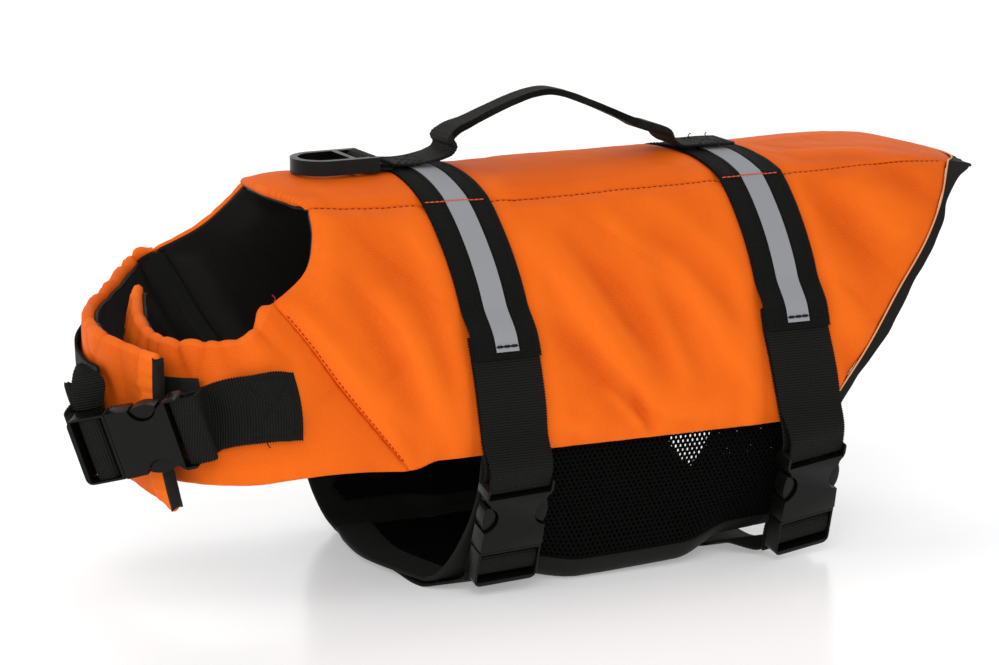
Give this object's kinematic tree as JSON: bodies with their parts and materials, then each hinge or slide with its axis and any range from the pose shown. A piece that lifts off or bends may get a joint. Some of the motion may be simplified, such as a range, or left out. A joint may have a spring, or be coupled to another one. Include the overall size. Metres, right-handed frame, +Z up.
{
  "type": "dog life jacket",
  "caption": "Padded life jacket for a large dog: foam back, sides and neck flaps, mesh belly panel, webbing girth and chest straps with side-release buckles, a carrying handle and a D-ring.",
  "frame": {"origin": "middle of the underside of the jacket's box, on the surface it stands on", "axes": "+Z up as worn, +X from the head end toward the tail end, +Y toward the dog's right, so the buckles are on the -Y side"},
  "size_m": [0.5638, 0.2304, 0.2554],
  "materials": {
    "orange_cloth": "coated oxford cloth with a fine weave and a soft sheen",
    "black_lining": "smooth woven lining with a satin sheen",
    "black_mesh": "open knitted mesh",
    "black_binding": "folded woven tape, plain weave",
    "black_webbing": "ribbed polypropylene webbing",
    "reflective_tape": "grey retroreflective tape",
    "black_plastic": "moulded acetal, satin"
  },
  "bodies": {
    "jacket": {"back_panel": "orange_cloth", "back_lining": "black_lining", "side_panel_left": "orange_cloth", "side_panel_right": "orange_cloth", "side_lining_left": "black_lining", "side_lining_right": "black_lining", "neck_flap_left": "orange_cloth", "neck_flap_right": "orange_cloth", "flap_lining_left": "black_lining", "flap_lining_right": "black_lining", "flap_edge_right": "black_binding", "rear_binding": "black_binding", "belly_base": "black_mesh", "belly_wing_left": "black_mesh", "belly_wing_right": "black_mesh", "belly_binding_front": "black_binding", "belly_binding_rear": "black_binding", "belly_binding_left": "black_binding", "belly_binding_right": "black_binding", "front_strap": "black_webbing", "rear_strap": "black_webbing", "front_reflective": "reflective_tape", "rear_reflective": "reflective_tape", "front_socket_loop": "black_webbing", "rear_socket_loop": "black_webbing", "front_belly_strap": "black_webbing", "rear_belly_strap": "black_webbing", "chest_web_left": "black_webbing", "chest_web_right": "black_webbing", "chest_tail": "black_webbing", "closure_patch": "black_binding", "handle": "black_webbing", "ring_loop": "black_webbing", "front_socket": "black_plastic", "front_plug": "black_plastic", "rear_socket": "black_plastic", "rear_plug": "black_plastic", "chest_socket": "black_plastic", "chest_plug": "black_plastic"},
    "ring": {"d_ring": "black_plastic"}
  },
  "joints": [
    {"name": "d_ring_swing", "type": "hinge", "parent": "jacket", "child": "ring", "pos_m": [-0.08642, 0.00484, 0.223], "axis": [0, 1, 0], "range_deg": [0, 150]}
  ]
}
